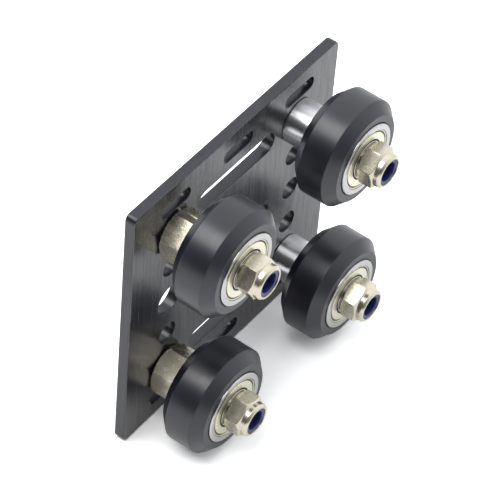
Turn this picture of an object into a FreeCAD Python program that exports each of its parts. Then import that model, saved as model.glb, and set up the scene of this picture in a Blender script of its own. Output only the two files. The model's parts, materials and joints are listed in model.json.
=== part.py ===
import FreeCAD, Part
import math
import os

from FreeCAD import Vector

# V wheel carriage: a flat plate that runs along a 20 mm slotted rail on four V wheels.
# Every axle is built along its own local Z, with stations counted from the plate's back face,
# and is then stood up so that the wheels point along -Y.

# Plate
plate_width = 65.5
plate_height = 65.5
plate_thickness = 2.5
plate_corner_radius = 1.5
plate_edge_bevel = 0.25

# Holes and slots of the plate
axle_spacing_x = 40.0
axle_spacing_z = 40.0
screw_hole_diameter = 5.1
boss_hole_diameter = 7.2
hole_row_spacing = 20.0
hole_pitch = 10.0
short_slot_length = 9.5
short_slot_width = 3.2
short_slot_spacing_x = 20.0
short_slot_spacing_z = 55.0
long_slot_length = 25.0
long_slot_width = 5.2
long_slot_spacing_z = 41.0

# Screws
screw_diameter = 4.95
screw_length = 24.0
screw_tip_bevel = 0.6
screw_head_diameter = 9.5
screw_head_height = 2.75
screw_head_rim = 0.7
screw_head_top_diameter = 5.2
screw_dome_rise = 0.45
screw_socket_width = 3.0
screw_socket_depth = 1.56
screw_clearance = 0.06

# Ball bearings
bearing_outer_diameter = 16.0
bearing_bore = 5.0
bearing_width = 5.0
bearing_edge_bevel = 0.3
inner_ring_diameter = 8.5
outer_ring_shoulder_diameter = 12.4
ball_cage_clearance = 0.1
ball_cage_width = 3.4

# Shields of the bearings
shield_seat_diameter = 13.5
shield_seat_bevel = 0.2
shield_recess = 0.15
shield_thickness = 0.5
shield_groove_depth = 0.3
shield_groove_width = 0.2
shield_groove_slope = 0.1
shield_curl_width = 0.25
shield_gap = 0.25

# Spacers and shims
spacer_height = 6.35
spacer_diameter = 10.0
spacer_edge_bevel = 0.3
shim_diameter = 10.0
shim_thickness = 1.0

# Eccentric spacers
hex_width = 10.0
hex_face_diameter = 9.0
hex_end_slope = 30.0
boss_length = 2.2
boss_clearance = 0.05
boss_neck_depth = 0.15
boss_neck_width = 0.4
boss_edge_bevel = 0.2
eccentricity = 0.8
mark_angle = 39.0
mark_groove_width = 1.1
mark_groove_depth = 0.5

# V wheels
wheel_diameter = 23.9
wheel_width = 10.23
wheel_bevel = 2.17
wheel_lip_diameter = 14.0
wheel_bore_bevel = 0.25

# Lock nuts
nut_width = 8.0
nut_height = 5.5
nut_base_diameter = 7.2
nut_base_height = 0.15
nut_hex_height = 3.5
nut_end_slope = 30.0
nut_collar_diameter = 7.5
nut_rim_diameter = 6.7
nut_rim_roll = 0.5
nut_roll_rise = 0.12
nut_mouth_diameter = 5.9
insert_diameter = 6.1
insert_height = 1.35
insert_bore = 4.3
insert_depth = 0.25

# The four axles: name, side, height, direction of the eccentric's offset, direction of a nut corner
right = 1
left = -1
upper = 1
lower = -1
AXLES = (
    ("upper_right", right, upper, None, 43.0),
    ("lower_right", right, lower, None, 30.0),
    ("upper_left", left, upper, 28.0, 0.0),
    ("lower_left", left, lower, -40.0, 42.0),
)

# Stations along an axle, counted from the plate's back face
front_face = plate_thickness
bearing_rear = front_face + spacer_height
shim_rear = bearing_rear + bearing_width
bearing_front = shim_rear + shim_thickness
nut_base = bearing_front + bearing_width
wheel_middle = shim_rear + shim_thickness / 2

# A hexagon's angles, and how far a cutting tool runs past the faces that it cuts
hex_sides = 6
hex_step = 360 / hex_sides
hex_corner_share = math.cos(math.radians(hex_step / 2))
overrun = 1.0

Z_AXIS = Vector(0, 0, 1)
ORIGIN = Vector(0, 0, 0)


def turned(points, rises=None):
    """A ring or a pin turned about Z from (radius, station) points; rises gives an edge's bulge over its chord."""
    rises = rises or {}
    corners = [Vector(radius, 0, station) for radius, station in points]
    edges = []
    for index, start in enumerate(corners):
        end = corners[(index + 1) % len(corners)]
        if index in rises:
            chord = end - start
            outward = Vector(chord.z, 0, -chord.x).normalize()
            middle = (start + end) * 0.5 + outward * rises[index]
            edges.append(Part.Arc(start, middle, end).toShape())
        else:
            edges.append(Part.makeLine(start, end))
    return Part.Face(Part.Wire(edges)).revolve(ORIGIN, Z_AXIS, 360)


def cylinder(diameter, low, high, x=0.0, y=0.0):
    return Part.makeCylinder(diameter / 2, high - low, Vector(x, y, low))


def hexagon(width, low, high, turn=0.0):
    """A six-sided prism; the normal of its first flat points along the turn angle."""
    corner_radius = width / 2 / hex_corner_share
    corners = []
    for step in range(hex_sides + 1):
        angle = math.radians(turn + (step + 0.5) * hex_step)
        corners.append(Vector(corner_radius * math.cos(angle), corner_radius * math.sin(angle), low))
    return Part.Face(Part.makePolygon(corners)).extrude(Vector(0, 0, high - low))


def slot(length, width, low, high, x, y):
    """A straight slot with round ends, lying along X."""
    half = (length - width) / 2
    radius = width / 2
    top_left = Vector(x - half, y + radius, low)
    top_right = Vector(x + half, y + radius, low)
    bottom_right = Vector(x + half, y - radius, low)
    bottom_left = Vector(x - half, y - radius, low)
    edges = [
        Part.makeLine(top_left, top_right),
        Part.Arc(top_right, Vector(x + half + radius, y, low), bottom_right).toShape(),
        Part.makeLine(bottom_right, bottom_left),
        Part.Arc(bottom_left, Vector(x - half - radius, y, low), top_left).toShape(),
    ]
    return Part.Face(Part.Wire(edges)).extrude(Vector(0, 0, high - low))


def slope_rise(run, slope):
    """Height that a turned end slope gains over a radial run."""
    return run * math.tan(math.radians(slope))


def stand_up(shape, x=0.0, z=0.0):
    """Turns local +Z into the row's -Y and moves the axle to its place on the plate."""
    placed = shape.copy()
    placed.rotate(ORIGIN, Vector(1, 0, 0), 90)
    placed.translate(Vector(x, 0, z))
    return placed


def write(name, solids, x=0.0, z=0.0):
    shape = solids[0] if len(solids) == 1 else Part.makeCompound(solids)
    stand_up(shape, x, z).exportStep(os.path.join("parts", name + ".step"))


def carriage_plate():
    half_x = plate_width / 2
    half_z = plate_height / 2
    blank = Part.makeBox(plate_width, plate_height, plate_thickness, Vector(-half_x, -half_z, 0))
    upright_edges = [e for e in blank.Edges if abs(e.tangentAt(e.FirstParameter).z) > 0.99]
    blank = blank.makeFillet(plate_corner_radius, upright_edges)
    rim_edges = [e for e in blank.Edges if e.BoundBox.ZLength < plate_thickness / 2]
    blank = blank.makeChamfer(plate_edge_bevel, rim_edges)

    low = -overrun
    high = plate_thickness + overrun
    cuts = []
    axle_x = axle_spacing_x / 2
    for side in (left, right):
        diameter = screw_hole_diameter if side == right else boss_hole_diameter
        for height in (lower, 0, upper):
            cuts.append(cylinder(diameter, low, high, side * axle_x, height * axle_spacing_z / 2))
        for height in (lower, upper):
            y = height * hole_row_spacing / 2
            cuts.append(cylinder(screw_hole_diameter, low, high, side * axle_x, y))
    for step in (-1, 0, 1):
        cuts.append(cylinder(screw_hole_diameter, low, high, step * hole_pitch, 0))
    for height in (lower, upper):
        for step in (-1, 0, 1):
            x = step * short_slot_spacing_x
            y = height * short_slot_spacing_z / 2
            cuts.append(slot(short_slot_length, short_slot_width, low, high, x, y))
        y = height * long_slot_spacing_z / 2
        cuts.append(slot(long_slot_length, long_slot_width, low, high, 0, y))
    return blank.cut(cuts)


def v_wheel():
    """The wheel's tyre: a flat tread between two 45 degree bevels, and a lip between the bearing seats."""
    half = wheel_width / 2
    low = wheel_middle - half
    high = wheel_middle + half
    tread = wheel_diameter / 2
    face = tread - wheel_bevel
    seat = bearing_outer_diameter / 2
    lip = wheel_lip_diameter / 2
    return turned([
        (seat + wheel_bore_bevel, low),
        (face, low),
        (tread, low + wheel_bevel),
        (tread, high - wheel_bevel),
        (face, high),
        (seat + wheel_bore_bevel, high),
        (seat, high - wheel_bore_bevel),
        (seat, bearing_front),
        (lip, bearing_front),
        (lip, shim_rear),
        (seat, shim_rear),
        (seat, low + wheel_bore_bevel),
    ])


def outer_ring(low):
    """A bearing's outer ring, with a seat for a shield at each end."""
    high = low + bearing_width
    outside = bearing_outer_diameter / 2
    shoulder = outer_ring_shoulder_diameter / 2
    seat = shield_seat_diameter / 2
    mouth = seat + shield_seat_bevel
    seat_depth = shield_recess + shield_thickness
    return turned([
        (mouth, low),
        (outside - bearing_edge_bevel, low),
        (outside, low + bearing_edge_bevel),
        (outside, high - bearing_edge_bevel),
        (outside - bearing_edge_bevel, high),
        (mouth, high),
        (seat, high - shield_seat_bevel),
        (seat, high - seat_depth),
        (shoulder, high - seat_depth),
        (shoulder, low + seat_depth),
        (seat, low + seat_depth),
        (seat, low + shield_seat_bevel),
    ])


def inner_ring(low):
    high = low + bearing_width
    bore = bearing_bore / 2
    shoulder = inner_ring_diameter / 2
    return turned([
        (bore, low),
        (shoulder, low),
        (shoulder, high),
        (bore, high),
    ])


def ball_cage(low):
    """The balls in their cage, closed in between the rings and the shields, as one plain ring."""
    middle = low + bearing_width / 2
    inside = inner_ring_diameter / 2 + ball_cage_clearance
    outside = outer_ring_shoulder_diameter / 2 - ball_cage_clearance
    half_width = ball_cage_width / 2
    return turned([
        (inside, middle - half_width),
        (outside, middle - half_width),
        (outside, middle + half_width),
        (inside, middle + half_width),
    ])


def shield(face, inward):
    """A pressed shield with a curled outer edge; face is its bearing's end, inward is 1 or -1 along Z."""
    top = shield_recess
    valley = top + shield_groove_depth
    under = top + shield_thickness
    seat = shield_seat_diameter / 2
    curl = seat - shield_curl_width
    groove_outer = curl - shield_groove_slope
    groove_inner = groove_outer - shield_groove_width
    web = groove_inner - shield_groove_slope
    hole = inner_ring_diameter / 2 + shield_gap
    profile = [
        (seat, top),
        (curl, top),
        (groove_outer, valley),
        (groove_inner, valley),
        (web, top),
        (hole, top),
        (hole, under),
        (seat, under),
    ]
    return turned([(radius, face + inward * depth) for radius, depth in profile])


def shim():
    bore = (screw_diameter / 2) + screw_clearance
    radius = shim_diameter / 2
    return turned([
        (bore, shim_rear),
        (radius, shim_rear),
        (radius, bearing_front),
        (bore, bearing_front),
    ])


def round_spacer():
    bore = screw_hole_diameter / 2
    radius = spacer_diameter / 2
    return turned([
        (bore, front_face),
        (radius - spacer_edge_bevel, front_face),
        (radius, front_face + spacer_edge_bevel),
        (radius, bearing_rear - spacer_edge_bevel),
        (radius - spacer_edge_bevel, bearing_rear),
        (bore, bearing_rear),
    ])


def eccentric_spacer(turn):
    """A hexagon with turned ends, a boss that turns in the plate and a bore set off centre."""
    corner = hex_width / 2 / hex_corner_share
    face = hex_face_diameter / 2
    rise = slope_rise(corner - face, hex_end_slope)
    boss = boss_hole_diameter / 2 - boss_clearance
    neck = boss - boss_neck_depth
    boss_end = front_face - boss_length
    hexagonal = hexagon(hex_width, front_face, bearing_rear, turn + mark_angle)
    turned_ends = turned([
        (0, front_face),
        (face, front_face),
        (corner, front_face + rise),
        (corner, bearing_rear - rise),
        (face, bearing_rear),
        (0, bearing_rear),
    ])
    boss_body = turned([
        (0, boss_end),
        (boss - boss_edge_bevel, boss_end),
        (boss, boss_end + boss_edge_bevel),
        (boss, front_face - boss_neck_width),
        (neck, front_face - boss_neck_width),
        (neck, front_face),
        (0, front_face),
    ])
    body = hexagonal.common(turned_ends).fuse(boss_body)

    direction = math.radians(turn)
    bore_x = eccentricity * math.cos(direction)
    bore_y = eccentricity * math.sin(direction)
    bore_diameter = screw_diameter + 2 * screw_clearance
    bore = cylinder(bore_diameter, boss_end - overrun, bearing_rear + overrun, bore_x, bore_y)
    mark = mark_groove(turn + mark_angle)
    return body.cut([bore, mark]).removeSplitter()


def mark_groove(direction):
    """The rounded groove along the middle of one flat, which shows how the spacer is turned."""
    half_width = mark_groove_width / 2
    radius = (half_width ** 2 + mark_groove_depth ** 2) / (2 * mark_groove_depth)
    centre = hex_width / 2 - mark_groove_depth + radius
    angle = math.radians(direction)
    return cylinder(
        2 * radius,
        front_face,
        bearing_rear + overrun,
        centre * math.cos(angle),
        centre * math.sin(angle),
    )


def screw():
    """A low round-headed screw; its head lies on the plate's back face and its thread is left plain."""
    shank = screw_diameter / 2
    head = screw_head_diameter / 2
    top = screw_head_top_diameter / 2
    rim = -screw_head_rim
    crown = -screw_head_height
    body = turned(
        [
            (0, crown),
            (top, crown),
            (head, rim),
            (head, 0),
            (shank, 0),
            (shank, screw_length - screw_tip_bevel),
            (shank - screw_tip_bevel, screw_length),
            (0, screw_length),
        ],
        {1: screw_dome_rise},
    )
    socket = hexagon(screw_socket_width, crown - overrun, crown + screw_socket_depth)
    return body.cut(socket)


def lock_nut(turn):
    """A hexagon with turned ends, and a round collar rolled over the nylon insert."""
    corner = nut_width / 2 / hex_corner_share
    base = nut_base_diameter / 2
    collar = nut_collar_diameter / 2
    rim = nut_rim_diameter / 2
    mouth = nut_mouth_diameter / 2
    thread = screw_diameter / 2
    pocket = insert_diameter / 2
    shoulder = nut_base + nut_base_height
    hex_start = shoulder + slope_rise(corner - base, nut_end_slope)
    hex_end = nut_base + nut_hex_height
    collar_start = hex_end + slope_rise(corner - collar, nut_end_slope)
    top = nut_base + nut_height
    insert_top = top - insert_depth
    insert_low = insert_top - insert_height
    core = hexagon(nut_width, nut_base, top, turn + hex_step / 2)
    rolled_edge = 6
    lathe = turned(
        [
            (thread, nut_base),
            (base, nut_base),
            (base, shoulder),
            (corner, hex_start),
            (corner, hex_end),
            (collar, collar_start),
            (collar, top - nut_rim_roll),
            (rim, top),
            (mouth, top),
            (mouth, insert_top),
            (pocket, insert_top),
            (pocket, insert_low),
            (thread, insert_low),
        ],
        {rolled_edge: nut_roll_rise},
    )
    return core.common(lathe)


def nut_insert():
    top = nut_base + nut_height - insert_depth
    low = top - insert_height
    return turned([
        (insert_bore / 2, low),
        (insert_diameter / 2, low),
        (insert_diameter / 2, top),
        (insert_bore / 2, top),
    ])


def bearing(end, low, suffix, x, z):
    """One shielded ball bearing; the axle writes the ball cages of its two bearings together."""
    write("outer_ring_" + end + suffix, [outer_ring(low)], x, z)
    write("inner_ring_" + end + suffix, [inner_ring(low)], x, z)
    shields = [shield(low, 1), shield(low + bearing_width, -1)]
    write("shields_" + end + suffix, shields, x, z)


def axle(name, side, height, eccentric_turn, nut_turn):
    """Everything on one screw, from its head on the plate's back to the lock nut in front of the wheel."""
    suffix = "_" + name
    hole_x = side * axle_spacing_x / 2
    hole_z = height * axle_spacing_z / 2
    x = hole_x
    z = hole_z
    if eccentric_turn is None:
        write("round_spacer" + suffix, [round_spacer()], hole_x, hole_z)
    else:
        write("eccentric_spacer" + suffix, [eccentric_spacer(eccentric_turn)], hole_x, hole_z)
        x += eccentricity * math.cos(math.radians(eccentric_turn))
        z += eccentricity * math.sin(math.radians(eccentric_turn))
    write("screw" + suffix, [screw()], x, z)
    write("v_wheel" + suffix, [v_wheel()], x, z)
    bearing("rear", bearing_rear, suffix, x, z)
    bearing("front", bearing_front, suffix, x, z)
    write("ball_cages" + suffix, [ball_cage(bearing_rear), ball_cage(bearing_front)], x, z)
    write("shim" + suffix, [shim()], x, z)
    write("lock_nut" + suffix, [lock_nut(nut_turn)], x, z)
    write("nut_insert" + suffix, [nut_insert()], x, z)


def main():
    os.makedirs("parts", exist_ok=True)
    write("carriage_plate", [carriage_plate()])
    for settings in AXLES:
        axle(*settings)


main()
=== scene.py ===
"""A carriage plate on four V wheels, with finished edges, materials and a small studio."""

import json
import math

import bmesh
import bpy
from mathutils import Matrix, Vector
from mathutils.geometry import tessellate_polygon


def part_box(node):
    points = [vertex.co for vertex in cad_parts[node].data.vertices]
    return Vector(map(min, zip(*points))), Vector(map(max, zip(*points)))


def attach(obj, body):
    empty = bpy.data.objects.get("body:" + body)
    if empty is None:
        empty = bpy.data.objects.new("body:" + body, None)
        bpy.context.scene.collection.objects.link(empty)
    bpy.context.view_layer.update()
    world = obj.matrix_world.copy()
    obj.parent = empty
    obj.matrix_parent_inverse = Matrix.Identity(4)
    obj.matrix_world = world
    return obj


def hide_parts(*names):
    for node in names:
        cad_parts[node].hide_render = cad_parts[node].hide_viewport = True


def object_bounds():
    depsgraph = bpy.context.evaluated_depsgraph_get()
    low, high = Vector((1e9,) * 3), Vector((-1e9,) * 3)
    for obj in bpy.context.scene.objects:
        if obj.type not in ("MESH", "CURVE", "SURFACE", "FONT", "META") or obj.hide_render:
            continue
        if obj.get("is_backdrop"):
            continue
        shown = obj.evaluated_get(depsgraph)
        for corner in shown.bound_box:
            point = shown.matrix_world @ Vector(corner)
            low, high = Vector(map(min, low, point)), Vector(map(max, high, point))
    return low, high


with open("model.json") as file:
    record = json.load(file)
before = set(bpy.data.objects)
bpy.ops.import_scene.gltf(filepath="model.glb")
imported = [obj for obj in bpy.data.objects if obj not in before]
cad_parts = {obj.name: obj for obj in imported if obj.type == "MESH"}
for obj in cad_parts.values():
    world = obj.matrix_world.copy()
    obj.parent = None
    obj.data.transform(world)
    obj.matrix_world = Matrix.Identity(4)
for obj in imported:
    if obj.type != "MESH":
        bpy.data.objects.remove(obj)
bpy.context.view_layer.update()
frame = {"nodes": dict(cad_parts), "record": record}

bl_info = {
    "name": "V wheel carriage",
    "version": (1, 0, 0),
    "blender": (4, 5, 0),
    "location": "View3D > Sidebar > Carriage",
    "description": "Dresses a plate with four V wheels, their bearings, spacers, screws and lock nuts",
    "category": "Object",
}

MILLIMETRE = 0.001
AXLES = ("upper_right", "lower_right", "upper_left", "lower_left")
BODY_OF_NODE = {
    node: body
    for body, nodes in frame["record"]["behaviour"]["bodies"].items()
    for node in nodes
}
HEXAGON_SIDES = 6
HEXAGON_STEP = math.tau / HEXAGON_SIDES
MERGE_DISTANCE = 0.0001 * MILLIMETRE
SHARP_ANGLE = math.radians(35)
LONGEST_ROUNDING = 0.45
RING_SEGMENTS = 128
WHEEL_SEGMENTS = 160
SCREW_SEGMENTS = 96

# A shader's usual specular level, the spans that noise values lie in, and a turn as a share of a full one.
NEUTRAL_SPECULAR = 0.5
NOISE_LOW = 0.3
NOISE_HIGH = 0.7
STREAK_LOW = 0.35
STREAK_HIGH = 0.65
QUARTER_TURN = 0.25

SENSOR_MILLIMETRES = 36.0
LENS_MILLIMETRES = 248.83
SOFTBOX_DIRECTION = Vector((-0.36, 0.22, 0.88))

# Radiances, of which 1 is white. The room turns from dark to pale between two X values of a direction, and
# the floor's last two values are its colours, to reflections and to the camera.
SOFTBOX_RADIANCE = 5.0
ROOM_TINT = (0.96, 0.98, 1.0, 1.0)
ROOM_DARK_END = -0.7
ROOM_PALE_END = 0.8
ROOM_DARK_LEVEL = 0.1
ROOM_PALE_LEVEL = 1.3
CEILING_LEVEL = 0.7
CEILING_FALLOFF = 3.0
FLOOR_GLOW = 0.04
FLOOR_MIRRORED = 0.95
FLOOR_SEEN = 1.55


def length(name, description, millimetres):
    return bpy.props.FloatProperty(
        name=name,
        description=description,
        default=millimetres * MILLIMETRE,
        unit="LENGTH",
        precision=5,
    )


def angle(name, description, degrees):
    return bpy.props.FloatProperty(
        name=name,
        description=description,
        default=math.radians(degrees),
        subtype="ANGLE",
    )


def colour(name, description, red, green, blue):
    return bpy.props.FloatVectorProperty(
        name=name,
        description=description,
        default=(red, green, blue),
        subtype="COLOR",
        min=0.0,
        max=1.0,
    )


class PlateSizes(bpy.types.PropertyGroup):
    corner: length("Corner radius", "Radius of the plate's four corners", 1.5)
    rim_round: length("Rim rounding", "Rounding along the plate's outer edges", 0.3)
    hole_round: length("Hole rounding", "Rounding along the edges of holes and slots", 0.1)
    axle_spacing: length("Axle spacing", "Distance between the plate's axle holes", 40.0)
    screw_hole: length("Screw hole", "Diameter of the plain holes", 5.1)
    boss_hole: length("Boss hole", "Diameter of the holes for the eccentric spacers", 7.2)
    hole_row: length("Hole row", "Distance between the rows above and below the middle", 20.0)
    hole_pitch: length("Hole pitch", "Distance between the holes of the middle row", 10.0)
    short_slot: length("Short slot", "Length of the short slots", 9.5)
    short_slot_width: length("Short slot width", "Width of the short slots", 3.2)
    short_slot_pitch: length("Short slot pitch", "Distance between short slots beside each other", 20.0)
    short_slot_rows: length("Short slot rows", "Distance between the two rows of short slots", 55.0)
    long_slot: length("Long slot", "Length of the long slots", 25.0)
    long_slot_width: length("Long slot width", "Width of the long slots", 5.2)
    long_slot_rows: length("Long slot rows", "Distance between the two long slots", 41.0)


class WheelSizes(bpy.types.PropertyGroup):
    bevel: length("Bevel", "Height of the two bevels that run in the rail", 2.17)
    seat: length("Bearing seat", "Diameter of the seats of the bearings", 16.0)
    lip: length("Lip", "Bore of the lip between the two bearings", 14.0)
    seat_bevel: length("Seat bevel", "Lead-in at the mouth of each bearing seat", 0.25)
    edge_round: length("Edge rounding", "Rounding between tread, bevels and faces", 0.35)


class BearingSizes(bpy.types.PropertyGroup):
    bore: length("Bore", "Bore of the inner ring", 5.0)
    inner_ring: length("Inner ring", "Outer diameter of the inner ring", 8.5)
    shoulder: length("Shoulder", "Inner diameter of the outer ring between the shields", 12.4)
    shield_seat: length("Shield seat", "Diameter of the seats of the shields", 13.5)
    shield_recess: length("Shield recess", "How far the shields lie below the ring's ends", 0.15)
    shield_thickness: length("Shield thickness", "Thickness of a shield with its curl", 0.5)
    shield_gap: length("Shield gap", "Running gap between shield and inner ring", 0.25)
    groove_depth: length("Groove depth", "Depth of the pressed groove of a shield", 0.3)
    groove_width: length("Groove width", "Width of the floor of that groove", 0.2)
    groove_slope: length("Groove slope", "Width of each slope of that groove", 0.1)
    curl: length("Curl", "Width of the curled edge outside the groove", 0.25)
    edge_round: length("Edge rounding", "Rounding at the ends of the rings", 0.3)


class SpacerSizes(bpy.types.PropertyGroup):
    round_bore: length("Bore", "Bore of the round spacers", 5.1)
    edge_round: length("Edge rounding", "Rounding of a round spacer's ends", 0.3)
    hexagon: length("Hexagon", "Width across the flats of an eccentric spacer", 10.0)
    end_face: length("End face", "Diameter of an eccentric spacer's end faces", 9.0)
    end_slope: angle("End slope", "Slope of the turned ends", 30.0)
    boss: length("Boss", "Diameter of the boss that turns in the plate", 7.1)
    boss_neck: length("Boss neck", "Depth of the groove between boss and hexagon", 0.15)
    boss_neck_width: length("Boss neck width", "Width of that groove", 0.4)
    eccentric_bore: length("Eccentric bore", "Bore of the eccentric spacers", 5.07)
    mark_angle: angle("Mark angle", "From the bore's offset to the marked flat", 39.0)
    mark_width: length("Mark width", "Width of the mark groove", 1.1)
    mark_depth: length("Mark depth", "Depth of the mark groove", 0.5)


class FastenerSizes(bpy.types.PropertyGroup):
    screw: length("Screw", "Diameter of the screws", 4.95)
    head: length("Head", "Diameter of the screw heads", 9.5)
    head_rim: length("Head rim", "Height of the straight rim of a head", 0.7)
    head_top: length("Head top", "Diameter of the flat on a head", 5.2)
    head_bulge: length("Head bulge", "Bulge of a head's dome over its chord", 0.45)
    socket: length("Socket", "Width across the flats of the hexagon socket", 3.0)
    socket_depth: length("Socket depth", "Depth of the hexagon socket", 1.56)
    socket_corner: length("Socket corner", "Rounding of the socket's corners", 0.02)
    socket_lead: length("Socket lead-in", "Bevel at the mouth of the socket", 0.1)
    tip_bevel: length("Tip bevel", "Bevel at the screw's tip", 0.6)
    nut: length("Nut", "Width across the flats of a lock nut", 8.0)
    nut_base: length("Nut base", "Diameter of a nut's bearing face", 7.2)
    nut_base_height: length("Nut base height", "Height of that face's rim", 0.15)
    nut_hexagon_height: length("Hexagon height", "Height up to the end of the full hexagon", 3.5)
    nut_slope: angle("Nut slope", "Slope of a nut's turned ends", 30.0)
    collar: length("Collar", "Diameter of the collar over the nylon insert", 7.5)
    rim: length("Rim", "Diameter where the collar is rolled over", 6.7)
    rim_roll: length("Rim roll", "Height of the rolled edge", 0.5)
    mouth: length("Mouth", "Inner diameter of the rolled rim", 5.9)
    insert_bore: length("Insert bore", "Bore of the nylon insert", 4.3)
    edge_round: length("Edge rounding", "Rounding along the edges of nuts and inserts", 0.08)


class FinishColours(bpy.types.PropertyGroup):
    plate: colour("Plate", "Black anodised plate", 0.013, 0.013, 0.019)
    wheel: colour("Wheel", "Black moulded wheels", 0.008, 0.0085, 0.015)
    bearing: colour("Bearing", "Steel of the bearing rings", 0.50, 0.50, 0.49)
    shield: colour("Shield", "Pressed shields of the bearings", 0.76, 0.74, 0.58)
    nickel: colour("Nickel", "Lock nuts and eccentric spacers", 0.58, 0.54, 0.43)
    aluminium: colour("Aluminium", "Round spacers", 0.80, 0.81, 0.82)
    steel: colour("Steel", "Shims", 0.62, 0.62, 0.63)
    black_steel: colour("Blackened steel", "Screws", 0.12, 0.12, 0.125)
    nylon: colour("Nylon", "Inserts of the lock nuts", 0.018, 0.020, 0.125)
    floor: colour("Floor", "Studio floor", 0.90, 0.90, 0.90)


class StageSizes(bpy.types.PropertyGroup):
    camera_azimuth: angle("Camera azimuth", "Camera's place round the carriage, from its front", -56.34)
    camera_elevation: angle("Camera elevation", "Camera's height over the carriage, as an angle", 47.06)
    camera_roll: angle("Camera roll", "Turn of the camera about its own line of sight", 4.99)
    camera_distance: length("Camera distance", "From the camera to the point that it looks at", 670.4)
    aim_x: length("Aim X", "Point that the camera looks at, to the right", 3.29)
    aim_z: length("Aim Z", "Point that the camera looks at, upwards", -1.87)
    floor_size: length("Floor size", "Side of the square floor", 6000.0)
    softbox_width: length("Softbox width", "Size of the softbox overhead from left to right", 400.0)
    softbox_length: length("Softbox length", "Size of the softbox overhead from front to back", 750.0)
    softbox_distance: length("Softbox distance", "From the softbox to the carriage", 800.0)


def sizes(context, name):
    return getattr(context.scene, name)


def axle_centre(name):
    """Where an axle meets the plate's back plane, from the box of its wheel."""
    low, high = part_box("v_wheel_" + name)
    middle = (low + high) / 2
    return Vector((middle.x, 0.0, middle.z))


def stations(node):
    """Where a node starts and ends along its axle, counted from the plate's back face to the front."""
    low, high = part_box(node)
    return -high.y, -low.y


def diameter(node):
    low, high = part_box(node)
    return high.x - low.x


def plate_hole(centre, spacing):
    """The axle hole of the plate that an axle belongs to."""
    half = spacing / 2
    return Vector((math.copysign(half, centre.x), 0.0, math.copysign(half, centre.z)))


def direction_of(offset):
    return math.atan2(offset.z, offset.x)


def rounded(points, radius, steps=4):
    """A closed outline with each corner rounded, by one radius or by a list with one for each corner."""
    result = []
    count = len(points)
    for index, point in enumerate(points):
        size = radius[index] if isinstance(radius, (list, tuple)) else radius
        corner = Vector(point)
        before = Vector(points[index - 1]) - corner
        after = Vector(points[(index + 1) % count]) - corner
        if size == 0.0:
            result.append(corner)
            continue
        if min(before.length, after.length) < MERGE_DISTANCE:
            result.extend([corner] * (steps + 1))
            continue
        half = before.angle(after) / 2
        reach = min(size / math.tan(half), LONGEST_ROUNDING * min(before.length, after.length))
        start = corner + before.normalized() * reach
        end = corner + after.normalized() * reach
        for step in range(steps + 1):
            share = step / steps
            near = start.lerp(corner, share)
            far = corner.lerp(end, share)
            result.append(near.lerp(far, share))
    return result


def arc_points(start, end, bulge, steps):
    """Points between two ends of a shallow arc that bulges to the right of its chord."""
    chord = end - start
    outward = Vector((chord.y, -chord.x)).normalized()
    points = []
    for step in range(1, steps):
        share = step / steps
        points.append(start + chord * share + outward * bulge * 4 * share * (1 - share))
    return points


def make_piece(name, mesh_edit, location):
    """Turns an edit mesh into a smooth piece, with the shading of its flats kept even."""
    bmesh.ops.remove_doubles(mesh_edit, verts=mesh_edit.verts, dist=MERGE_DISTANCE)
    bmesh.ops.recalc_face_normals(mesh_edit, faces=mesh_edit.faces)
    mesh = bpy.data.meshes.new(name)
    mesh_edit.to_mesh(mesh)
    mesh_edit.free()
    mesh.shade_smooth()
    mesh.set_sharp_from_angle(angle=SHARP_ANGLE)
    piece = bpy.data.objects.new(name, mesh)
    piece.location = location
    bpy.context.scene.collection.objects.link(piece)
    even = piece.modifiers.new("Even shading", "WEIGHTED_NORMAL")
    even.keep_sharp = True
    return piece


def bridge(mesh_edit, loops, closed):
    """Quads between neighbouring loops of points; closed joins the last loop to the first."""
    rings = [[mesh_edit.verts.new(point) for point in loop] for loop in loops]
    pairs = list(zip(rings, rings[1:]))
    if closed:
        pairs.append((rings[-1], rings[0]))
    for ring, following in pairs:
        for index, corner in enumerate(ring):
            after = (index + 1) % len(ring)
            mesh_edit.faces.new((corner, ring[after], following[after], following[index]))
    return rings


def fill_between(mesh_edit, rings):
    """Triangles in the flat that the first ring bounds and the others pierce."""
    corners = [corner for ring in rings for corner in ring]
    for triangle in tessellate_polygon([[corner.co for corner in ring] for ring in rings]):
        mesh_edit.faces.new([corners[index] for index in triangle])


def turned(mesh_edit, angles, profile_at):
    """A body of revolution round Y; profile_at gives its closed outline of (radius, station) at an angle."""
    loops = []
    for turn in angles:
        across = math.cos(turn)
        upward = math.sin(turn)
        loops.append([(r * across, -station, r * upward) for r, station in profile_at(turn)])
    bridge(mesh_edit, loops, closed=True)


def round_angles(segments):
    return [math.tau * index / segments for index in range(segments)]


def turned_piece(name, angles, profile_at, location):
    mesh_edit = bmesh.new()
    turned(mesh_edit, angles, profile_at)
    return make_piece(name, mesh_edit, location)


def ring_piece(name, outline, location, segments=RING_SEGMENTS):
    return turned_piece(name, round_angles(segments), lambda turn: outline, location)


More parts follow.
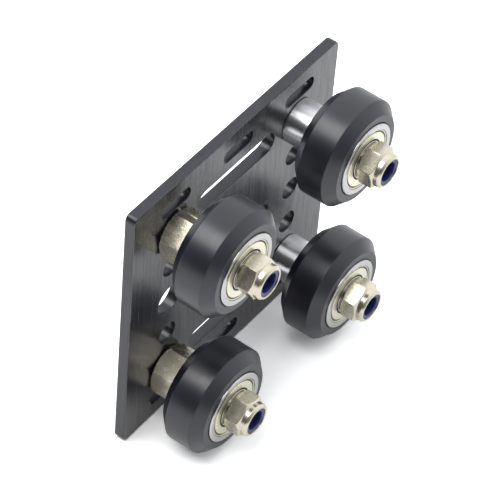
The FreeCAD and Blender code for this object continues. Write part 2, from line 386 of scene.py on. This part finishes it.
class Hexagon:
    """A six-sided section with round corners, and a mark groove in its first flat where one is given."""

    def __init__(self, width, turn, corner_round, mark_width=0.0, mark_depth=0.0):
        self.apothem = width / 2
        self.turn = turn
        self.corner_round = corner_round
        self.half_mark = mark_width / 2
        self.mark_depth = mark_depth
        share = math.cos(HEXAGON_STEP / 2)
        self.corner = self.apothem / share
        self.round_centre = (self.apothem - corner_round) / share
        self.half_flat = (self.apothem - corner_round) * math.tan(HEXAGON_STEP / 2)

    def radius(self, angle):
        local = (angle - self.turn + HEXAGON_STEP / 2) % HEXAGON_STEP - HEXAGON_STEP / 2
        if self.apothem * math.tan(abs(local)) <= self.half_flat:
            radius = self.apothem / math.cos(local)
        else:
            beside = HEXAGON_STEP / 2 - abs(local)
            sideways = self.round_centre * math.sin(beside)
            radius = self.round_centre * math.cos(beside) + math.sqrt(self.corner_round ** 2 - sideways ** 2)
        return min(radius, self.groove(angle))

    def groove(self, angle):
        """Radius at which the mark groove starts, where the direction meets it."""
        local = (angle - self.turn + math.pi) % math.tau - math.pi
        if self.half_mark == 0.0 or abs(local) > HEXAGON_STEP / 2:
            return math.inf
        tool = (self.half_mark ** 2 + self.mark_depth ** 2) / (2 * self.mark_depth)
        centre = self.apothem - self.mark_depth + tool
        sideways = centre * math.sin(local)
        if abs(sideways) >= tool:
            return math.inf
        return centre * math.cos(local) - math.sqrt(tool ** 2 - sideways ** 2)

    def angles(self, flat_steps=16, corner_steps=4, mark_steps=16):
        locals_of_flat = []
        for step in range(flat_steps + 1):
            across = self.half_flat * (2 * step / flat_steps - 1)
            locals_of_flat.append(math.atan2(across, self.apothem))
        last = HEXAGON_STEP / 2
        first = locals_of_flat[-1]
        for step in range(1, 2 * corner_steps):
            locals_of_flat.append(first + (last - first) * step / corner_steps)
        result = []
        for side in range(HEXAGON_SIDES):
            result.extend(self.turn + side * HEXAGON_STEP + local for local in locals_of_flat)
        if self.half_mark:
            edge = math.atan2(self.half_mark, self.apothem)
            for step in range(mark_steps + 1):
                local = edge * (2 * step / mark_steps - 1)
                result.append(self.turn + local)
        return sorted(set(round(turn % math.tau, 6) for turn in result))


def nodes_of(material):
    tree = material.node_tree
    return tree, tree.nodes["Principled BSDF"]


def add_node(tree, kind, inputs=None, **settings):
    """A shader node; an input is a plain value, or the socket that feeds it."""
    node = tree.nodes.new(kind)
    for name, value in settings.items():
        setattr(node, name, value)
    for name, value in (inputs or {}).items():
        if isinstance(value, bpy.types.NodeSocket):
            tree.links.new(value, node.inputs[name])
        else:
            node.inputs[name].default_value = value
    return node


def calculate(tree, operation, *values):
    """The result of a math node on sockets and plain numbers."""
    node = add_node(tree, "ShaderNodeMath", dict(enumerate(values)), operation=operation)
    return node.outputs["Value"]


def slope_between(tree, value, start, end, low, high, **settings):
    """A number that goes from low to high while the value goes from start to end."""
    inputs = {"Value": value, "From Min": start, "From Max": end, "To Min": low, "To Max": high}
    return add_node(tree, "ShaderNodeMapRange", inputs, **settings).outputs["Result"]


def straight_grain(tree, stretch):
    """Object coordinates, stretched so that streaks run along the axis with the smallest factor."""
    place = add_node(tree, "ShaderNodeTexCoord")
    mapping = add_node(tree, "ShaderNodeMapping", {"Vector": place.outputs["Object"], "Scale": stretch})
    return mapping.outputs["Vector"]


def axle_distance(tree, place):
    flat = add_node(
        tree, "ShaderNodeVectorMath", {0: place.outputs["Object"], 1: (1.0, 0.0, 1.0)}, operation="MULTIPLY"
    )
    distance = add_node(tree, "ShaderNodeVectorMath", {0: flat.outputs["Vector"]}, operation="LENGTH")
    return distance.outputs["Value"]


def turned_grain(tree, drift=0.05):
    """Distance from the axle and station along it, so that marks run round the axle."""
    place = add_node(tree, "ShaderNodeTexCoord")
    radius = axle_distance(tree, place)
    parts = add_node(tree, "ShaderNodeSeparateXYZ", {"Vector": place.outputs["Object"]})
    around = calculate(tree, "MULTIPLY", parts.outputs["X"], drift)
    joined = add_node(
        tree, "ShaderNodeCombineXYZ", {"X": radius, "Y": parts.outputs["Y"], "Z": around}
    )
    return joined.outputs["Vector"]


def painted_shade_circles(tree, circles, depth=0.9):
    """A factor of painted shade that falls from one at circles round the axle, given by their radii and half
    widths.
    """
    radius = axle_distance(tree, add_node(tree, "ShaderNodeTexCoord"))
    factor = 1.0
    for place, half_width in circles:
        beside = calculate(tree, "ABSOLUTE", calculate(tree, "SUBTRACT", radius, place))
        line = slope_between(tree, beside, half_width / 2, half_width, 1 - depth, 1.0)
        factor = calculate(tree, "MULTIPLY", line, factor)
    return factor


def darken(material, factor):
    """Multiplies a finish's colour by a factor."""
    tree, shader = nodes_of(material)
    tint = shader.inputs["Base Color"].links[0].from_socket
    darker = add_node(tree, "ShaderNodeVectorMath", {0: tint, 1: factor(tree)}, operation="MULTIPLY")
    tree.links.new(darker.outputs["Vector"], shader.inputs["Base Color"])
    return material


def brushed(material, stretch, scale, spread, anisotropy, edge_shine):
    """Streaks the faces and leaves the edges plain and duller; mirror images blur across the streaks."""
    tree, shader = nodes_of(material)
    streaks = add_node(
        tree, "ShaderNodeTexNoise", {"Vector": straight_grain(tree, stretch), "Scale": scale, "Detail": 2.0}
    )
    place = add_node(tree, "ShaderNodeTexCoord")
    parts = add_node(tree, "ShaderNodeSeparateXYZ", {"Vector": place.outputs["Normal"]})
    facing = calculate(tree, "POWER", parts.outputs["Y"], 2.0)
    more = NEUTRAL_SPECULAR - edge_shine
    shine = slope_between(
        tree, streaks.outputs["Fac"], STREAK_LOW, STREAK_HIGH, more - spread, more + spread
    )
    level = calculate(tree, "MULTIPLY_ADD", shine, facing, edge_shine)
    tree.links.new(level, shader.inputs["Specular IOR Level"])
    across = add_node(tree, "ShaderNodeCombineXYZ", {"X": 1.0})
    tree.links.new(across.outputs["Vector"], shader.inputs["Tangent"])
    shader.inputs["Anisotropic"].default_value = anisotropy
    return material


def lathe_turned(material, anisotropy=0.7):
    """Blurs what a finish mirrors across the fine marks that run round the axle."""
    tree, shader = nodes_of(material)
    around = add_node(tree, "ShaderNodeTangent", direction_type="RADIAL", axis="Y")
    tree.links.new(around.outputs["Tangent"], shader.inputs["Tangent"])
    shader.inputs["Anisotropic"].default_value = anisotropy
    shader.inputs["Anisotropic Rotation"].default_value = QUARTER_TURN
    return material


def finish(name, tint, grain, fine, broad, roughness, spread, variation, bump, **sockets):
    """A procedural finish: broad changes of tint, and a fine grain in roughness and height.

    Fine and broad are the scales of the two noises, and bump is a height in millimetres.
    """
    material = bpy.data.materials.new(name)
    material.use_nodes = True
    tree, shader = nodes_of(material)
    vector = grain(tree)
    grains = add_node(
        tree, "ShaderNodeTexNoise", {"Vector": vector, "Scale": fine, "Detail": 4.0, "Roughness": 0.6}
    )
    patches = add_node(tree, "ShaderNodeTexNoise", {"Vector": vector, "Scale": broad, "Detail": 3.0})
    tints = add_node(tree, "ShaderNodeValToRGB", {"Fac": patches.outputs["Fac"]})
    tints.color_ramp.elements[0].position = NOISE_LOW
    tints.color_ramp.elements[1].position = NOISE_HIGH
    tints.color_ramp.elements[0].color = [part * (1 - variation) for part in tint] + [1.0]
    tints.color_ramp.elements[1].color = [min(1.0, part * (1 + variation)) for part in tint] + [1.0]
    both = calculate(tree, "ADD", grains.outputs["Fac"], patches.outputs["Fac"])
    rough = slope_between(
        tree, both, 2 * NOISE_LOW, 2 * NOISE_HIGH, roughness - spread, roughness + spread
    )
    height = add_node(
        tree,
        "ShaderNodeBump",
        {"Height": grains.outputs["Fac"], "Strength": 1.0, "Distance": bump * MILLIMETRE},
    )
    tree.links.new(tints.outputs["Color"], shader.inputs["Base Color"])
    tree.links.new(rough, shader.inputs["Roughness"])
    tree.links.new(height.outputs["Normal"], shader.inputs["Normal"])
    for socket, value in sockets.items():
        shader.inputs[socket.replace("_", " ")].default_value = value
    return material


def anodised_plate(tint):
    base = finish(
        "Black anodised plate", tint, lambda tree: straight_grain(tree, stretch=(1.0, 1.0, 0.04)),
        fine=3200.0, broad=420.0, roughness=0.25, spread=0.06, variation=0.25, bump=0.0016, IOR=1.9,
    )
    return brushed(
        base, stretch=(1.0, 1.0, 0.06), scale=2600.0, spread=0.13, anisotropy=0.6, edge_shine=0.22
    )


def moulded_wheel(tint):
    return finish(
        "Black acetal", tint, turned_grain,
        fine=2400.0, broad=300.0, roughness=0.34, spread=0.05, variation=0.2, bump=0.002, IOR=1.6,
    )


def ground_ring(tint):
    base = finish(
        "Ground bearing steel", tint, turned_grain,
        fine=6000.0, broad=700.0, roughness=0.24, spread=0.06, variation=0.06, bump=0.0012, Metallic=1.0,
    )
    return lathe_turned(base)


def pressed_shield(tint, bearing):
    """The shields' steel, with painted shade in dark lines at their seat, in their groove and at their gap.
    """
    seat = bearing.shield_seat / 2
    valley = seat - bearing.curl - bearing.groove_slope - bearing.groove_width / 2
    hole = bearing.inner_ring / 2 + bearing.shield_gap
    circles = ((seat, bearing.curl / 2), (valley, bearing.groove_width), (hole, bearing.curl / 2))
    base = finish(
        "Pressed shield", tint, turned_grain,
        fine=3000.0, broad=400.0, roughness=0.32, spread=0.05, variation=0.05, bump=0.0015, Metallic=1.0,
    )
    # Painted shade: the shield colour is darkened in narrow circles at the seat, the groove and the gap.
    return lathe_turned(darken(base, lambda tree: painted_shade_circles(tree, circles)))


def bright_nickel(tint):
    return finish(
        "Bright nickel", tint, lambda tree: straight_grain(tree, stretch=(1.0, 0.6, 1.0)),
        fine=900.0, broad=260.0, roughness=0.26, spread=0.06, variation=0.14, bump=0.024, Metallic=1.0,
    )


def turned_aluminium(tint):
    base = finish(
        "Turned aluminium", tint, turned_grain,
        fine=5000.0, broad=500.0, roughness=0.30, spread=0.04, variation=0.05, bump=0.0003, Metallic=1.0,
    )
    return lathe_turned(base)


def plain_steel(tint):
    return finish(
        "Plain steel", tint, turned_grain,
        fine=3000.0, broad=500.0, roughness=0.30, spread=0.06, variation=0.08, bump=0.002, Metallic=1.0,
    )


def blackened_steel(tint):
    return finish(
        "Blackened screw steel", tint, turned_grain,
        fine=3000.0, broad=500.0, roughness=0.32, spread=0.06, variation=0.15, bump=0.002, Metallic=1.0,
    )


def blue_nylon(tint):
    return finish(
        "Blue nylon", tint, lambda tree: straight_grain(tree, stretch=(1.0, 1.0, 1.0)),
        fine=2500.0, broad=500.0, roughness=0.35, spread=0.06, variation=0.2, bump=0.004, IOR=1.53,
    )


def make_finishes(tints, bearing):
    """One finish for each of the record's material slots."""
    return {
        "black_anodised": anodised_plate(tints.plate),
        "black_acetal": moulded_wheel(tints.wheel),
        "bearing_steel": ground_ring(tints.bearing),
        "cream_seal": pressed_shield(tints.shield, bearing),
        "nickel": bright_nickel(tints.nickel),
        "spacer_aluminium": turned_aluminium(tints.aluminium),
        "steel": plain_steel(tints.steel),
        "blackened_steel": blackened_steel(tints.black_steel),
        "blue_nylon": blue_nylon(tints.nylon),
    }


FINISHES = {}


def dress(piece, node, slot):
    """Gives a piece its finish, lets it ride where its node rides and stand for that node."""
    piece.data.materials.clear()
    piece.data.materials.append(FINISHES[slot])
    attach(piece, BODY_OF_NODE[node])
    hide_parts(node)


def add_tube(name, node, bore, rounding, centre, slot, steps=4):
    """A tube as wide and long as its node, with rounded ends."""
    low, high = stations(node)
    outside = diameter(node) / 2
    outline = [(bore, low), (outside, low), (outside, high), (bore, high)]
    dress(ring_piece(name, rounded(outline, rounding, steps), centre), node, slot)


def dress_node(node, slot):
    """Gives a node that keeps its own shape a better material in each of its slots."""
    materials = frame["nodes"][node].data.materials
    for index in range(len(materials)):
        materials[index] = FINISHES[slot]


def rectangle_loop(half_x, half_z, corner, grow, steps=8):
    """A rectangle with round corners, made larger by grow on every side."""
    points = []
    for quarter, (side, height) in enumerate(((1, 1), (-1, 1), (-1, -1), (1, -1))):
        for step in range(steps + 1):
            turn = (quarter + step / steps) * math.pi / 2
            x = side * (half_x - corner) + (corner + grow) * math.cos(turn)
            z = height * (half_z - corner) + (corner + grow) * math.sin(turn)
            points.append((x, z))
    return points


def slot_loop(x, z, size, width, grow, steps=24):
    """A slot with round ends that lies along X; a round hole has a size equal to its width."""
    half = (size - width) / 2
    radius = width / 2 + grow
    points = []
    for side in (1, -1):
        for step in range(steps + 1):
            turn = (step / steps - 0.5) * math.pi + (0.0 if side == 1 else math.pi)
            points.append((x + side * half + radius * math.cos(turn), z + radius * math.sin(turn)))
    return points


def wall_steps(low, high, edge, steps=4):
    """(how far the wall draws back, station) from one face of the plate to the other, with round edges."""
    quarter = [math.pi / 2 * step / steps for step in range(steps + 1)]
    rear = [(edge * (1 - math.sin(turn)), low + edge * (1 - math.cos(turn))) for turn in quarter]
    front = [(edge * (1 - math.sin(turn)), high - edge * (1 - math.cos(turn))) for turn in reversed(quarter)]
    return rear + front


def plate_openings(plate):
    """(x, z, length, width) of every hole and slot."""
    axle = plate.axle_spacing / 2
    hole = plate.screw_hole
    result = []
    for side, axle_hole in ((1, hole), (-1, plate.boss_hole)):
        for height in (-1, 0, 1):
            result.append((side * axle, height * axle, axle_hole, axle_hole))
        for height in (-1, 1):
            result.append((side * axle, height * plate.hole_row / 2, hole, hole))
    for step in (-1, 0, 1):
        result.append((step * plate.hole_pitch, 0.0, hole, hole))
    for height in (-1, 1):
        for step in (-1, 0, 1):
            x = step * plate.short_slot_pitch
            result.append((x, height * plate.short_slot_rows / 2, plate.short_slot, plate.short_slot_width))
        result.append((0.0, height * plate.long_slot_rows / 2, plate.long_slot, plate.long_slot_width))
    return result


class CARRIAGE_OT_finishes(bpy.types.Operator):
    """Mix the finishes that the other steps use"""

    bl_idname = "carriage.mix_finishes"
    bl_label = "Mix finishes"

    def execute(self, context):
        tints = sizes(context, "carriage_colours")
        FINISHES.update(make_finishes(tints, sizes(context, "carriage_bearings")))
        return {"FINISHED"}


class CARRIAGE_OT_plate(bpy.types.Operator):
    """Make the plate with round edges, holes and slots"""

    bl_idname = "carriage.add_plate"
    bl_label = "Add plate"

    def execute(self, context):
        plate = sizes(context, "carriage_plate")
        low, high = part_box("carriage_plate")
        half_x = (high.x - low.x) / 2
        half_z = (high.z - low.z) / 2
        rear, front = stations("carriage_plate")

        mesh_edit = bmesh.new()
        shapes = [(plate.rim_round, lambda grow: rectangle_loop(half_x, half_z, plate.corner, -grow))]
        for x, z, size, width in plate_openings(plate):
            shapes.append((plate.hole_round, lambda grow, o=(x, z, size, width): slot_loop(*o, grow)))
        rims = ([], [])
        for edge, loop_at in shapes:
            loops = []
            for back, station in wall_steps(rear, front, edge):
                loops.append([(x, -station, z) for x, z in loop_at(back)])
            rings = bridge(mesh_edit, loops, closed=False)
            rims[0].append(rings[0])
            rims[1].append(rings[-1])
        for rim in rims:
            fill_between(mesh_edit, rim)
        piece = make_piece("plate", mesh_edit, (0.0, 0.0, 0.0))
        dress(piece, "carriage_plate", "black_anodised")
        return {"FINISHED"}


class CARRIAGE_OT_wheels(bpy.types.Operator):
    """Make the four V wheels"""

    bl_idname = "carriage.add_wheels"
    bl_label = "Add V wheels"

    def execute(self, context):
        wheel = sizes(context, "carriage_wheels")
        seat = wheel.seat / 2
        lip = wheel.lip / 2
        lead = wheel.seat_bevel
        for name in AXLES:
            node = "v_wheel_" + name
            low, high = stations(node)
            tread = diameter(node) / 2
            face = tread - wheel.bevel
            lip_low, lip_high = stations("shim_" + name)
            outline = [
                (seat + lead, low), (face, low), (tread, low + wheel.bevel), (tread, high - wheel.bevel),
                (face, high), (seat + lead, high), (seat, high - lead), (seat, lip_high),
                (lip, lip_high), (lip, lip_low), (seat, lip_low), (seat, low + lead),
            ]
            edge = wheel.edge_round
            radii = [lead / 4, edge, edge, edge, edge, lead / 4, lead / 4, 0.0, 0.0, 0.0, 0.0, lead / 4]
            profile = rounded(outline, radii)
            piece = ring_piece("wheel_" + name, profile, axle_centre(name), WHEEL_SEGMENTS)
            dress(piece, node, "black_acetal")
        return {"FINISHED"}


class CARRIAGE_OT_bearings(bpy.types.Operator):
    """Make the rings and shields of the eight ball bearings"""

    bl_idname = "carriage.add_bearings"
    bl_label = "Add bearings"

    def outer_ring(self, bearing, node, name, centre):
        low, high = stations(node)
        outside = diameter(node) / 2
        shoulder = bearing.shoulder / 2
        seat = bearing.shield_seat / 2
        depth = bearing.shield_recess + bearing.shield_thickness
        edge = bearing.edge_round
        outline = [
            (seat, low), (outside, low), (outside, high), (seat, high),
            (seat, high - depth), (shoulder, high - depth), (shoulder, low + depth), (seat, low + depth),
        ]
        radii = [edge / 3, edge, edge, edge / 3, 0.0, 0.0, 0.0, 0.0]
        dress(ring_piece(name, rounded(outline, radii), centre), node, "bearing_steel")

    def inner_ring(self, bearing, node, name, centre):
        add_tube(name, node, bearing.bore / 2, bearing.edge_round / 2, centre, "bearing_steel")

    def shields(self, bearing, node, name, centre):
        low, high = stations(node)
        seat = bearing.shield_seat / 2
        curl = seat - bearing.curl
        groove_outer = curl - bearing.groove_slope
        groove_inner = groove_outer - bearing.groove_width
        web = groove_inner - bearing.groove_slope
        hole = bearing.inner_ring / 2 + bearing.shield_gap
        thick = bearing.shield_thickness
        valley = bearing.groove_depth
        profile = [
            (seat, 0.0), (curl, 0.0), (groove_outer, valley), (groove_inner, valley),
            (web, 0.0), (hole, 0.0), (hole, thick), (seat, thick),
        ]
        soft = bearing.curl / 3
        mesh_edit = bmesh.new()
        for face, inward in ((low, 1), (high, -1)):
            outline = [(radius, face + inward * depth) for radius, depth in profile]
            smooth = rounded(outline, [soft, soft, soft / 2, soft / 2, soft, soft, 0.0, 0.0], steps=3)
            turned(mesh_edit, round_angles(RING_SEGMENTS), lambda turn: smooth)
        dress(make_piece(name, mesh_edit, centre), node, "cream_seal")

    def execute(self, context):
        bearing = sizes(context, "carriage_bearings")
        for axle in AXLES:
            centre = axle_centre(axle)
            for end in ("rear", "front"):
                name = end + "_" + axle
                self.outer_ring(bearing, "outer_ring_" + name, "bearing_outer_" + name, centre)
                self.inner_ring(bearing, "inner_ring_" + name, "bearing_inner_" + name, centre)
                self.shields(bearing, "shields_" + name, "bearing_shields_" + name, centre)
        return {"FINISHED"}


class CARRIAGE_OT_round_spacers(bpy.types.Operator):
    """Make the two round spacers"""

    bl_idname = "carriage.add_round_spacers"
    bl_label = "Add round spacers"

    def execute(self, context):
        spacer = sizes(context, "carriage_spacers")
        for axle in AXLES:
            node = "round_spacer_" + axle
            if node not in frame["nodes"]:
                continue
            bore = spacer.round_bore / 2
            centre = axle_centre(axle)
            add_tube("spacer_" + axle, node, bore, spacer.edge_round, centre, "spacer_aluminium", steps=5)
        return {"FINISHED"}


class CARRIAGE_OT_eccentrics(bpy.types.Operator):
    """Make the two eccentric spacers with their marked flat"""

    bl_idname = "carriage.add_eccentric_spacers"
    bl_label = "Add eccentric spacers"

    def execute(self, context):
        spacer = sizes(context, "carriage_spacers")
        spacing = sizes(context, "carriage_plate").axle_spacing
        front = stations("carriage_plate")[1]
        for axle in AXLES:
            node = "eccentric_spacer_" + axle
            if node not in frame["nodes"]:
                continue
            centre = axle_centre(axle)
            hole = plate_hole(centre, spacing)
            offset = centre - hole
            turn = direction_of(offset)
            rear, end = stations(node)
            slope = math.tan(spacer.end_slope)
            face = spacer.end_face / 2
            boss = spacer.boss / 2
            neck = boss - spacer.boss_neck
            bore = spacer.eccentric_bore / 2
            section = Hexagon(
                spacer.hexagon, turn + spacer.mark_angle, spacer.edge_round / 2,
                spacer.mark_width, spacer.mark_depth,
            )
            soft = spacer.edge_round / 4

            def profile_at(angle):
                side = section.radius(angle)
                beside = offset.length * math.sin(angle - turn)
                inside = offset.length * math.cos(angle - turn) + math.sqrt(bore ** 2 - beside ** 2)
                rise = max(0.0, side - face) * slope
                outline = [
                    (inside, rear), (boss, rear), (boss, front - spacer.boss_neck_width),
                    (neck, front - spacer.boss_neck_width), (neck, front), (face, front),
                    (side, front + rise), (side, end - rise), (face, end), (inside, end),
                ]
                radii = [soft, soft, soft, 0.0, 0.0, soft, soft, soft, soft, soft]
                return rounded(outline, radii, steps=3)

            piece = turned_piece("eccentric_" + axle, section.angles(), profile_at, hole)
            dress(piece, node, "nickel")
        return {"FINISHED"}


class CARRIAGE_OT_screws(bpy.types.Operator):
    """Make the four screws with domed heads and hexagon sockets"""

    bl_idname = "carriage.add_screws"
    bl_label = "Add screws"

    def execute(self, context):
        fastener = sizes(context, "carriage_fasteners")
        head = fastener.head / 2
        top = fastener.head_top / 2
        shank = fastener.screw / 2
        bevel = fastener.tip_bevel
        lead = fastener.socket_lead
        for axle in AXLES:
            node = "screw_" + axle
            crown, tip = stations(node)
            floor = crown + fastener.socket_depth
            dome_start = Vector((top, crown))
            dome_end = Vector((head, -fastener.head_rim))
            dome = arc_points(dome_start, dome_end, fastener.head_bulge, steps=10)
            outside = [dome_start] + dome + [
                dome_end, Vector((head, 0.0)), Vector((shank, 0.0)),
                Vector((shank, tip - bevel)), Vector((shank - bevel, tip)), Vector((0.0, tip)),
            ]
            section = Hexagon(fastener.socket, 0.0, fastener.socket_corner)

            def profile_at(angle):
                side = section.radius(angle)
                socket = [(0.0, floor), (side, floor), (side, crown + lead), (side + lead, crown)]
                return [Vector(point) for point in socket] + outside

            angles = round_angles(SCREW_SEGMENTS)
            piece = turned_piece("bolt_" + axle, angles, profile_at, axle_centre(axle))
            dress(piece, node, "blackened_steel")
        return {"FINISHED"}


class CARRIAGE_OT_lock_nuts(bpy.types.Operator):
    """Make the four lock nuts and their nylon inserts"""

    bl_idname = "carriage.add_lock_nuts"
    bl_label = "Add lock nuts"

    def corner_direction(self, node, centre):
        """Direction of a corner of the nut, from the vertex that lies furthest from its axle."""
        vertices = frame["nodes"][node].data.vertices
        furthest = max(vertices, key=lambda v: (v.co.x - centre.x) ** 2 + (v.co.z - centre.z) ** 2)
        return direction_of(furthest.co - centre)

    def execute(self, context):
        fastener = sizes(context, "carriage_fasteners")
        slope = math.tan(fastener.nut_slope)
        soft = fastener.edge_round
        for axle in AXLES:
            node = "lock_nut_" + axle
            centre = axle_centre(axle)
            low, top = stations(node)
            insert = "nut_insert_" + axle
            insert_low, insert_top = stations(insert)
            section = Hexagon(fastener.nut, self.corner_direction(node, centre) + HEXAGON_STEP / 2, soft)
            thread = fastener.screw / 2
            base = fastener.nut_base / 2
            collar = fastener.collar / 2
            pocket = diameter(insert) / 2
            shoulder = low + fastener.nut_base_height
            hexagon_end = low + fastener.nut_hexagon_height

            def profile_at(angle):
                side = section.radius(angle)
                outline = [
                    (thread, low), (base, low), (base, shoulder),
                    (side, shoulder + (side - base) * slope),
                    (side, hexagon_end + (section.corner - side) * slope),
                    (collar, hexagon_end + (section.corner - collar) * slope),
                    (collar, top - fastener.rim_roll), (fastener.rim / 2, top),
                    (fastener.mouth / 2, top), (fastener.mouth / 2, insert_top),
                    (pocket, insert_top), (pocket, insert_low), (thread, insert_low),
                ]
                rolled = fastener.rim_roll
                radii = [
                    soft, soft, soft, soft, 2 * soft, 2 * soft, rolled, rolled / 2,
                    rolled / 4, 0.0, 0.0, 0.0, 0.0,
                ]
                return rounded(outline, radii, steps=4)

            piece = turned_piece("nut_" + axle, section.angles(), profile_at, centre)
            dress(piece, node, "nickel")
            bore = fastener.insert_bore / 2
            rounding = [soft, soft, 0.0, 3 * soft]
            add_tube("insert_" + axle, insert, bore, rounding, centre, "blue_nylon")
        return {"FINISHED"}


class CARRIAGE_OT_inner_pieces(bpy.types.Operator):
    """Give the closed in shims and balls their finish"""

    bl_idname = "carriage.dress_inner_pieces"
    bl_label = "Dress inner pieces"

    def execute(self, context):
        for axle in AXLES:
            dress_node("shim_" + axle, "steel")
            dress_node("ball_cages_" + axle, "bearing_steel")
        return {"FINISHED"}


class CARRIAGE_OT_stage(bpy.types.Operator):
    """Make the floor, the light and the camera"""

    bl_idname = "carriage.add_stage"
    bl_label = "Add stage"

    def floor(self, stage, tint):
        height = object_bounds()[0][2]
        half = stage.floor_size / 2
        mesh = bpy.data.meshes.new("floor")
        corners = [(x * half, y * half, height) for x, y in ((-1, -1), (1, -1), (1, 1), (-1, 1))]
        mesh.from_pydata(corners, [], [(0, 1, 2, 3)])
        piece = bpy.data.objects.new("floor", mesh)
        bpy.context.scene.collection.objects.link(piece)
        mesh.materials.append(self.floor_finish(tint))
        piece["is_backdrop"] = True

    def floor_finish(self, tint):
        """Pale paper, which the camera sees as white but for the shadow, and metal mirrors as pale."""
        material = finish(
            "Studio floor", tint, lambda tree: straight_grain(tree, stretch=(1.0, 1.0, 1.0)),
            fine=60.0, broad=4.0, roughness=0.75, spread=0.05, variation=0.01, bump=0.0,
        )
        tree, paper = nodes_of(material)
        output = tree.nodes["Material Output"]
        path = add_node(tree, "ShaderNodeLightPath")
        camera = path.outputs["Is Camera Ray"]
        shade = slope_between(tree, camera, 0.0, 1.0, FLOOR_MIRRORED, FLOOR_SEEN)
        lit = add_node(tree, "ShaderNodeBsdfDiffuse", {"Color": shade})
        pale = add_node(tree, "ShaderNodeEmission", {"Strength": FLOOR_GLOW})
        shown = add_node(tree, "ShaderNodeAddShader", {0: lit.outputs["BSDF"], 1: pale.outputs["Emission"]})
        seen = camera
        for name in ("Is Glossy Ray", "Is Transmission Ray"):
            seen = calculate(tree, "MAXIMUM", seen, path.outputs[name])
        mixed = add_node(
            tree, "ShaderNodeMixShader", {0: seen, 1: paper.outputs["BSDF"], 2: shown.outputs["Shader"]}
        )
        tree.links.new(mixed.outputs["Shader"], output.inputs["Surface"])
        return material

    def softbox(self, stage, aim):
        """A lamp that lies along Y and faces the carriage."""
        lamp = bpy.data.lights.new("overhead_softbox", "AREA")
        lamp.shape = "RECTANGLE"
        lamp.size = stage.softbox_width
        lamp.size_y = stage.softbox_length
        lamp.energy = SOFTBOX_RADIANCE * math.pi * lamp.size * lamp.size_y
        item = bpy.data.objects.new("overhead_softbox", lamp)
        bpy.context.scene.collection.objects.link(item)
        backwards = SOFTBOX_DIRECTION.normalized()
        sideways = Vector((0.0, 1.0, 0.0)).cross(backwards).normalized()
        turn = Matrix((sideways, backwards.cross(sideways), backwards)).transposed()
        item.matrix_world = Matrix.Translation(aim + backwards * stage.softbox_distance) @ turn.to_4x4()

    def room(self):
        """A room that is dark to the left and pale to the right, with a pale ceiling."""
        world = bpy.data.worlds.new("Studio room")
        world.use_nodes = True
        bpy.context.scene.world = world
        tree = world.node_tree
        background = tree.nodes["Background"]
        place = add_node(tree, "ShaderNodeTexCoord")
        parts = add_node(tree, "ShaderNodeSeparateXYZ", {"Vector": place.outputs["Generated"]})
        level = slope_between(
            tree, parts.outputs["X"], ROOM_DARK_END, ROOM_PALE_END, ROOM_DARK_LEVEL, ROOM_PALE_LEVEL,
            interpolation_type="SMOOTHSTEP",
        )
        ceiling = calculate(
            tree, "POWER", calculate(tree, "MAXIMUM", parts.outputs["Z"], 0.0), CEILING_FALLOFF
        )
        both = calculate(tree, "MULTIPLY_ADD", ceiling, CEILING_LEVEL, level)
        background.inputs["Color"].default_value = ROOM_TINT
        tree.links.new(both, background.inputs["Strength"])

    def camera(self, stage, aim):
        around = stage.camera_azimuth
        up = stage.camera_elevation
        backwards = Vector(
            (math.sin(around) * math.cos(up), -math.cos(around) * math.cos(up), math.sin(up))
        )
        lens = bpy.data.cameras.new("camera")
        lens.sensor_width = SENSOR_MILLIMETRES
        lens.lens = LENS_MILLIMETRES
        item = bpy.data.objects.new("camera", lens)
        bpy.context.scene.collection.objects.link(item)
        item.matrix_world = (
            Matrix.Translation(aim + backwards * stage.camera_distance)
            @ backwards.to_track_quat("Z", "Y").to_matrix().to_4x4()
            @ Matrix.Rotation(stage.camera_roll, 4, "Z")
        )
        bpy.context.scene.camera = item

    def execute(self, context):
        stage = sizes(context, "carriage_stage")
        front = stations("carriage_plate")[1]
        aim = Vector((stage.aim_x, -front, stage.aim_z))
        self.floor(stage, sizes(context, "carriage_colours").floor)
        self.softbox(stage, aim)
        self.room()
        self.camera(stage, aim)
        context.scene.view_settings.view_transform = "Standard"
        return {"FINISHED"}


OPERATORS = (
    CARRIAGE_OT_finishes,
    CARRIAGE_OT_plate,
    CARRIAGE_OT_wheels,
    CARRIAGE_OT_bearings,
    CARRIAGE_OT_round_spacers,
    CARRIAGE_OT_eccentrics,
    CARRIAGE_OT_screws,
    CARRIAGE_OT_lock_nuts,
    CARRIAGE_OT_inner_pieces,
    CARRIAGE_OT_stage,
)


class CARRIAGE_PT_panel(bpy.types.Panel):
    """Lists the steps that dress the carriage"""

    bl_label = "V wheel carriage"
    bl_idname = "CARRIAGE_PT_panel"
    bl_space_type = "VIEW_3D"
    bl_region_type = "UI"
    bl_category = "Carriage"

    def draw(self, context):
        for operator in OPERATORS:
            self.layout.operator(operator.bl_idname)


SETTINGS = {
    "carriage_plate": PlateSizes,
    "carriage_wheels": WheelSizes,
    "carriage_bearings": BearingSizes,
    "carriage_spacers": SpacerSizes,
    "carriage_fasteners": FastenerSizes,
    "carriage_colours": FinishColours,
    "carriage_stage": StageSizes,
}


def register():
    for name, group in SETTINGS.items():
        bpy.utils.register_class(group)
        setattr(bpy.types.Scene, name, bpy.props.PointerProperty(type=group))
    for operator in OPERATORS:
        bpy.utils.register_class(operator)
    bpy.utils.register_class(CARRIAGE_PT_panel)


def unregister():
    bpy.utils.unregister_class(CARRIAGE_PT_panel)
    for operator in reversed(OPERATORS):
        bpy.utils.unregister_class(operator)
    for name, group in SETTINGS.items():
        delattr(bpy.types.Scene, name)
        bpy.utils.unregister_class(group)


def main():
    register()
    for operator in OPERATORS:
        area, action = operator.bl_idname.split(".")
        getattr(getattr(bpy.ops, area), action)()


if __name__ == "__main__":
    main()
